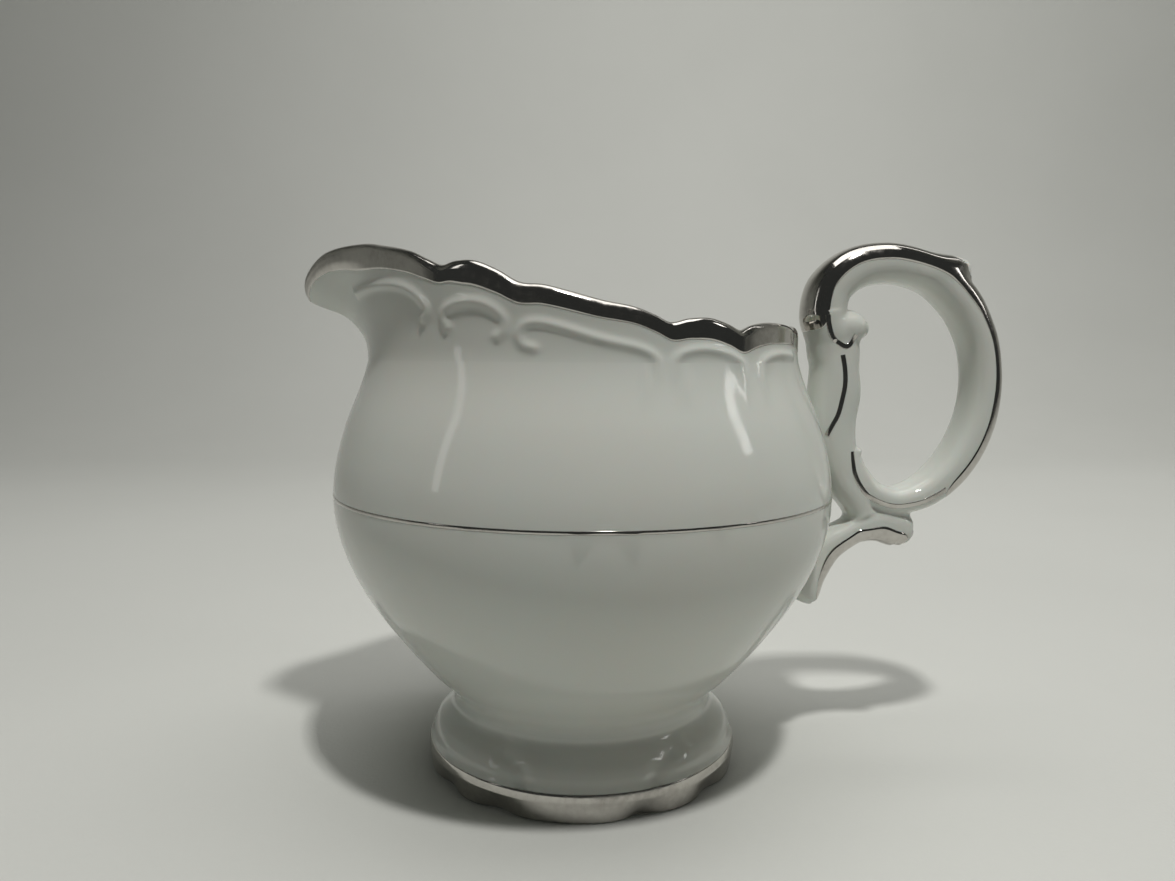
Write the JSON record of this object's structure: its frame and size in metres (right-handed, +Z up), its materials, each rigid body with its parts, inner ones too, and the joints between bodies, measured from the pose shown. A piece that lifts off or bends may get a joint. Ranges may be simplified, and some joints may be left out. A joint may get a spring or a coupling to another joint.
{
  "type": "cream jug",
  "caption": "White glazed porcelain cream jug on a pedestal foot, with a pulled spout, a scalloped rim, a scrolled loop handle and platinum trim, for pouring cream at table.",
  "frame": {"origin": "on the table plane, at the axis of the round body and foot", "axes": "+Z up, +X from the body towards the handle (the spout points to -X), +Y to the right side of someone pouring"},
  "size_m": [0.1387, 0.0962, 0.1033],
  "materials": {
    "porcelain": "gloss clear glaze on white porcelain",
    "platinum": "fired platinum lustre, mirror bright with light wear"
  },
  "bodies": {
    "root": {"bowl": "porcelain", "foot": "porcelain", "handle": "porcelain", "rim_band": "platinum", "belly_line": "platinum", "foot_band": "platinum", "handle_back_band": "platinum", "volute_band": "platinum", "spur_band": "platinum", "loop_line_left": "platinum", "loop_line_right": "platinum", "stem_line_left": "platinum", "stem_line_right": "platinum"}
  },
  "joints": []
}
